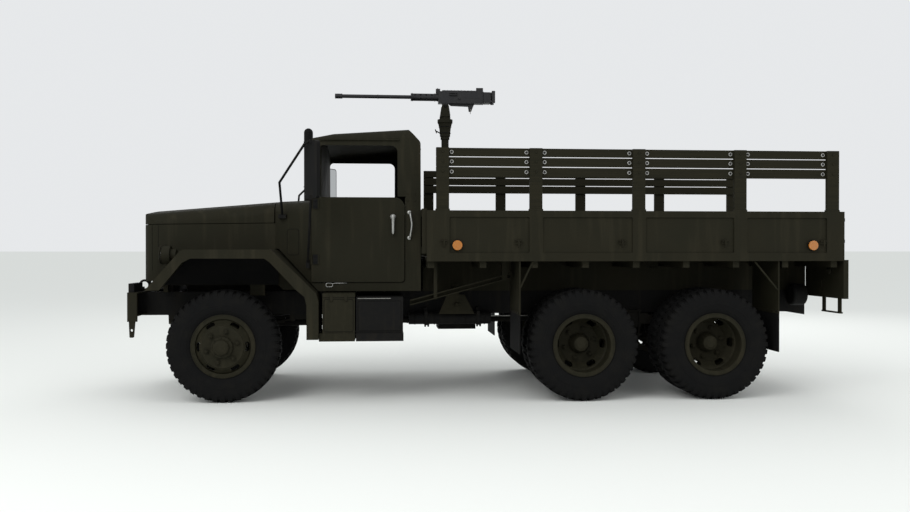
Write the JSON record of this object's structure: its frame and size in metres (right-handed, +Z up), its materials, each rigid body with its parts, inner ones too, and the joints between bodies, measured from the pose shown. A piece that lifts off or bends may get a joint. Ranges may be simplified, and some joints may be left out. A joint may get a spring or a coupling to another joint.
{
  "type": "six-wheel-drive military cargo truck",
  "caption": "Bonneted three-axle military cargo truck with hard-top cab, steel cargo bed, stake racks, twin rear wheels and a pedestal-mounted gun in the bed.",
  "frame": {"origin": "on the ground, midway between the bumper's front and the tow hook's rear, on the centreline", "axes": "+X forward, +Y to the truck's left, +Z up"},
  "size_m": [6.76, 2.8186, 3.072],
  "materials": {
    "olive_paint": "matt",
    "black_paint": "matt",
    "tyre": "matt",
    "rubber": "matt",
    "clear_glass": "polished",
    "amber_lens": "gloss",
    "mirror_face": "polished",
    "painted_wood": "painted",
    "seat_canvas": "woven",
    "gun_steel": "phosphated"
  },
  "bodies": {
    "chassis": {"front_bumper": "olive_paint", "grille_guard": "olive_paint", "front_fenders": "olive_paint", "hood_sides": "olive_paint", "cab_tub": "olive_paint", "windscreen_frame": "olive_paint", "hardtop": "olive_paint", "dashboard": "olive_paint", "mirrors": "olive_paint", "tool_boxes": "olive_paint", "spare_carrier": "olive_paint", "bed_floor": "olive_paint", "bed_sides": "olive_paint", "guard_plates": "olive_paint", "gun_pedestal": "olive_paint", "lamps": "olive_paint", "chassis_frame": "black_paint", "tow_fittings": "black_paint", "suspension": "black_paint", "axles": "black_paint", "drivetrain": "black_paint", "chassis_tanks": "black_paint", "exhaust": "black_paint", "mud_flaps": "rubber", "cab_glass": "clear_glass", "lamp_lenses": "clear_glass", "marker_lamps": "amber_lens", "mirror_glass": "mirror_face", "stake_racks": "painted_wood", "seats": "seat_canvas"},
    "knuckle_left": {"knuckle_left": "black_paint"},
    "knuckle_right": {"knuckle_right": "black_paint"},
    "tie_rod": {"tie_rod": "black_paint"},
    "front_wheel_left": {"wheel_front_left": "olive_paint", "tyre_front_left": "tyre"},
    "front_wheel_right": {"wheel_front_right": "olive_paint", "tyre_front_right": "tyre"},
    "middle_wheels_left": {"wheels_middle_left": "olive_paint", "tyres_middle_left": "tyre"},
    "middle_wheels_right": {"wheels_middle_right": "olive_paint", "tyres_middle_right": "tyre"},
    "rear_wheels_left": {"wheels_rear_left": "olive_paint", "tyres_rear_left": "tyre"},
    "rear_wheels_right": {"wheels_rear_right": "olive_paint", "tyres_rear_right": "tyre"},
    "door_left": {"door_left": "olive_paint"},
    "door_right": {"door_right": "olive_paint"},
    "hood": {"hood": "olive_paint"},
    "tailgate": {"tailgate": "olive_paint"},
    "gun_mount": {"gun_pintle": "gun_steel"},
    "gun": {"gun": "gun_steel"}
  },
  "joints": [
    {"name": "steer_left", "type": "hinge", "parent": "chassis", "child": "knuckle_left", "pos_m": [2.48, 0.7, 0.515], "axis": [0, 0, 1], "range_deg": [-28, 28]},
    {"name": "steer_right", "type": "hinge", "parent": "chassis", "child": "knuckle_right", "pos_m": [2.48, -0.7, 0.515], "axis": [0, 0, 1], "range_deg": [-28, 28]},
    {"name": "tie_rod_slide", "type": "slide", "parent": "chassis", "child": "tie_rod", "axis": [0, 1, 0], "range_m": [-0.112, 0.112]},
    {"name": "roll_front_left", "type": "hinge", "parent": "knuckle_left", "child": "front_wheel_left", "pos_m": [2.48, 0.862, 0.515], "axis": [0, 1, 0], "continuous": true},
    {"name": "roll_front_right", "type": "hinge", "parent": "knuckle_right", "child": "front_wheel_right", "pos_m": [2.48, -0.862, 0.515], "axis": [0, 1, 0], "continuous": true},
    {"name": "roll_middle_left", "type": "hinge", "parent": "chassis", "child": "middle_wheels_left", "pos_m": [-0.812, 0.895, 0.515], "axis": [0, 1, 0], "continuous": true},
    {"name": "roll_middle_right", "type": "hinge", "parent": "chassis", "child": "middle_wheels_right", "pos_m": [-0.812, -0.895, 0.515], "axis": [0, 1, 0], "continuous": true},
    {"name": "roll_rear_left", "type": "hinge", "parent": "chassis", "child": "rear_wheels_left", "pos_m": [-2.052, 0.895, 0.515], "axis": [0, 1, 0], "continuous": true},
    {"name": "roll_rear_right", "type": "hinge", "parent": "chassis", "child": "rear_wheels_right", "pos_m": [-2.052, -0.895, 0.515], "axis": [0, 1, 0], "continuous": true},
    {"name": "door_left_hinge", "type": "hinge", "parent": "chassis", "child": "door_left", "pos_m": [1.688, 0.92, 1.48], "axis": [0, 0, -1], "range_deg": [0, 65]},
    {"name": "door_right_hinge", "type": "hinge", "parent": "chassis", "child": "door_right", "pos_m": [1.688, -0.92, 1.48], "axis": [0, 0, 1], "range_deg": [0, 65]},
    {"name": "hood_hinge", "type": "hinge", "parent": "chassis", "child": "hood", "pos_m": [2.095, 0, 1.86], "axis": [0, -1, 0], "range_deg": [0, 45]},
    {"name": "tailgate_hinge", "type": "hinge", "parent": "chassis", "child": "tailgate", "pos_m": [-3.293, 0, 1.318], "axis": [0, -1, 0], "range_deg": [0, 90]},
    {"name": "gun_turn", "type": "hinge", "parent": "chassis", "child": "gun_mount", "pos_m": [0.389, 0, 2.7], "axis": [0, 0, 1], "continuous": true},
    {"name": "gun_elevation", "type": "hinge", "parent": "gun_mount", "child": "gun", "pos_m": [0.389, 0, 2.872], "axis": [0, -1, 0], "range_deg": [-10, 45]}
  ],
  "couplings": [
    {"joint": "steer_right", "follows": "steer_left", "ratio": 1},
    {"joint": "tie_rod_slide", "follows": "steer_left", "m_per_rad": -0.225}
  ]
}
